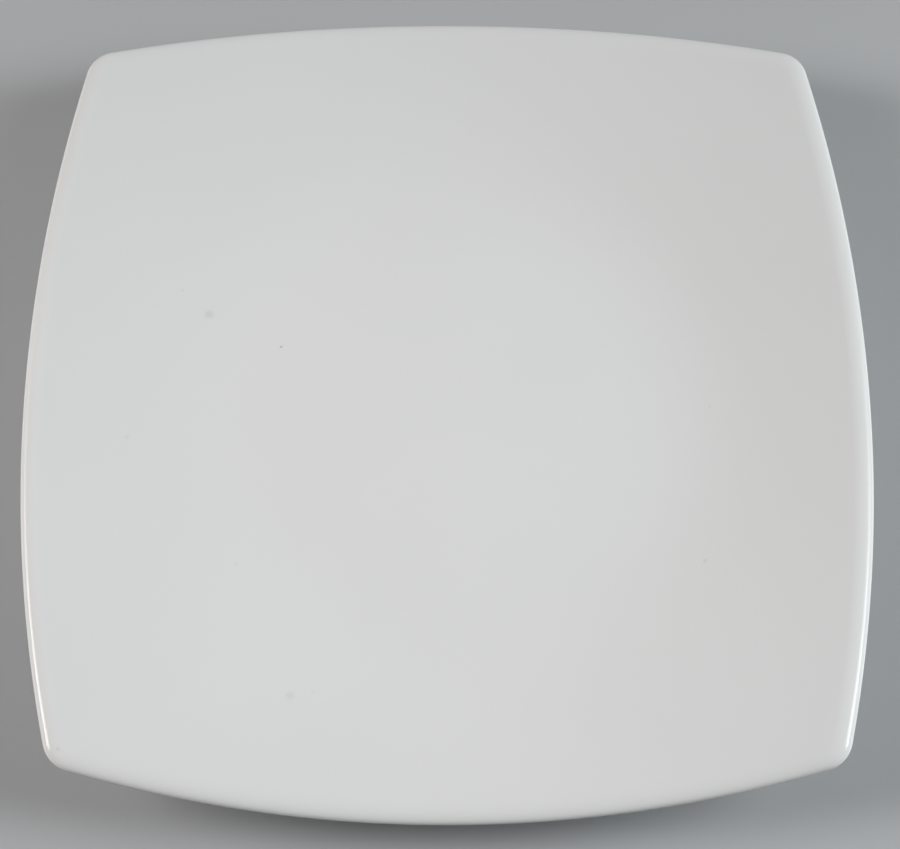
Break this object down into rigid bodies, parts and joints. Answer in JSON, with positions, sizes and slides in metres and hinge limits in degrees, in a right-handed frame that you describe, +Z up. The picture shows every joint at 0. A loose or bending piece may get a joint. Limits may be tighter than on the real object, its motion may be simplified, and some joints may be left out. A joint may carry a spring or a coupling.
{
  "type": "chop plate",
  "caption": "Square coupe chop plate in white glazed porcelain, with bowed sides, rounded corners, a round well, a rolled edge and a low foot ring.",
  "frame": {"origin": "on the table, under the middle of the plate", "axes": "+Z up out of the dish, +X towards the right-hand side and +Y towards the far side as the picture shows the plate"},
  "size_m": [0.318, 0.318, 0.0335],
  "materials": {
    "porcelain": "bare fired porcelain, matte",
    "glaze": "white gloss glaze"
  },
  "bodies": {
    "root": {"porcelain_body": "porcelain", "glaze_coat": "glaze", "base_glaze": "glaze"}
  },
  "joints": []
}
